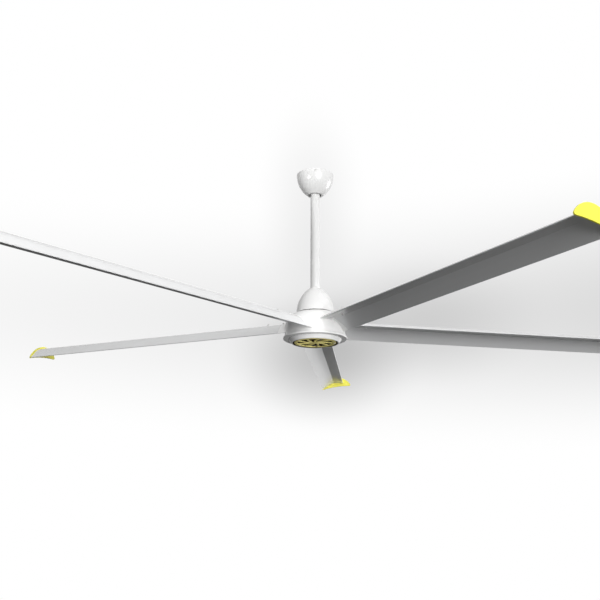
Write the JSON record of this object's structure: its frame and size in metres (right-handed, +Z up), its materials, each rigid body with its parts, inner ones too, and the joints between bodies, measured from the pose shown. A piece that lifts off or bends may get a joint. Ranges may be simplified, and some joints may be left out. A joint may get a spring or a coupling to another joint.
{
  "type": "industrial ceiling fan",
  "caption": "Large slow industrial ceiling fan: long arched blades with yellow tip caps on a round direct-drive hub that hangs from a downrod, bell cover and ceiling canopy.",
  "frame": {"origin": "centre of the bracket's ceiling face, on the fan's axis", "axes": "+Z up along the fan's axis into the ceiling, -Y towards the viewer of the picture, +X to their right"},
  "size_m": [4.1437, 4.0527, 1.125],
  "materials": {
    "zinc_steel": "zinc plated",
    "white_steel": "gloss white powder coat",
    "white_casting": "gloss white powder coat on a casting",
    "blade_aluminium": "satin silver-white coating",
    "tip_yellow": "lemon yellow moulding",
    "grille_gold": "satin gold paint",
    "dark_casting": "matte dark coating",
    "plain_aluminium": "as cast",
    "black_rubber": "matte",
    "core_steel": "bare electrical steel",
    "copper_wire": "enamelled copper",
    "magnet_black": "coated magnet"
  },
  "bodies": {
    "ceiling_mount": {"ceiling_bracket": "zinc_steel", "hanger_bolt": "zinc_steel", "hanger_nut": "zinc_steel", "canopy": "white_steel", "canopy_screws": "zinc_steel"},
    "mast": {"downrod": "white_steel", "hanger_bush": "black_rubber", "coupling_bolts": "zinc_steel", "coupling_nuts": "zinc_steel", "motor_shaft": "zinc_steel", "dome_cover": "white_steel", "dome_set_screws": "zinc_steel", "stator_hub": "plain_aluminium", "stator_core": "core_steel", "stator_coils": "copper_wire", "bearing_inner_rings": "zinc_steel", "shaft_nut": "zinc_steel"},
    "rotor": {"hub_casting": "white_casting", "upper_end_plate": "white_casting", "upper_plate_screws": "zinc_steel", "rotor_ring": "core_steel", "rotor_magnets": "magnet_black", "bearing_outer_rings": "zinc_steel", "lower_end_plate": "dark_casting", "lower_plate_screws": "zinc_steel", "bottom_cover": "white_steel", "grille": "grille_gold", "grille_screws": "zinc_steel", "blade_1": "blade_aluminium", "blade_2": "blade_aluminium", "blade_3": "blade_aluminium", "blade_4": "blade_aluminium", "blade_5": "blade_aluminium", "tip_cap_1": "tip_yellow", "tip_cap_2": "tip_yellow", "tip_cap_3": "tip_yellow", "tip_cap_4": "tip_yellow", "tip_cap_5": "tip_yellow", "blade_bolts": "zinc_steel", "blade_nuts": "zinc_steel", "tip_cap_screws": "zinc_steel"}
  },
  "joints": [
    {"name": "hanger_swing", "type": "hinge", "parent": "ceiling_mount", "child": "mast", "pos_m": [0, 0, -0.062], "axis": [1, 0, 0], "range_deg": [-6, 6]},
    {"name": "rotor_spin", "type": "hinge", "parent": "mast", "child": "rotor", "pos_m": [0, 0, -1.0215], "axis": [0, 0, 1], "continuous": true}
  ]
}
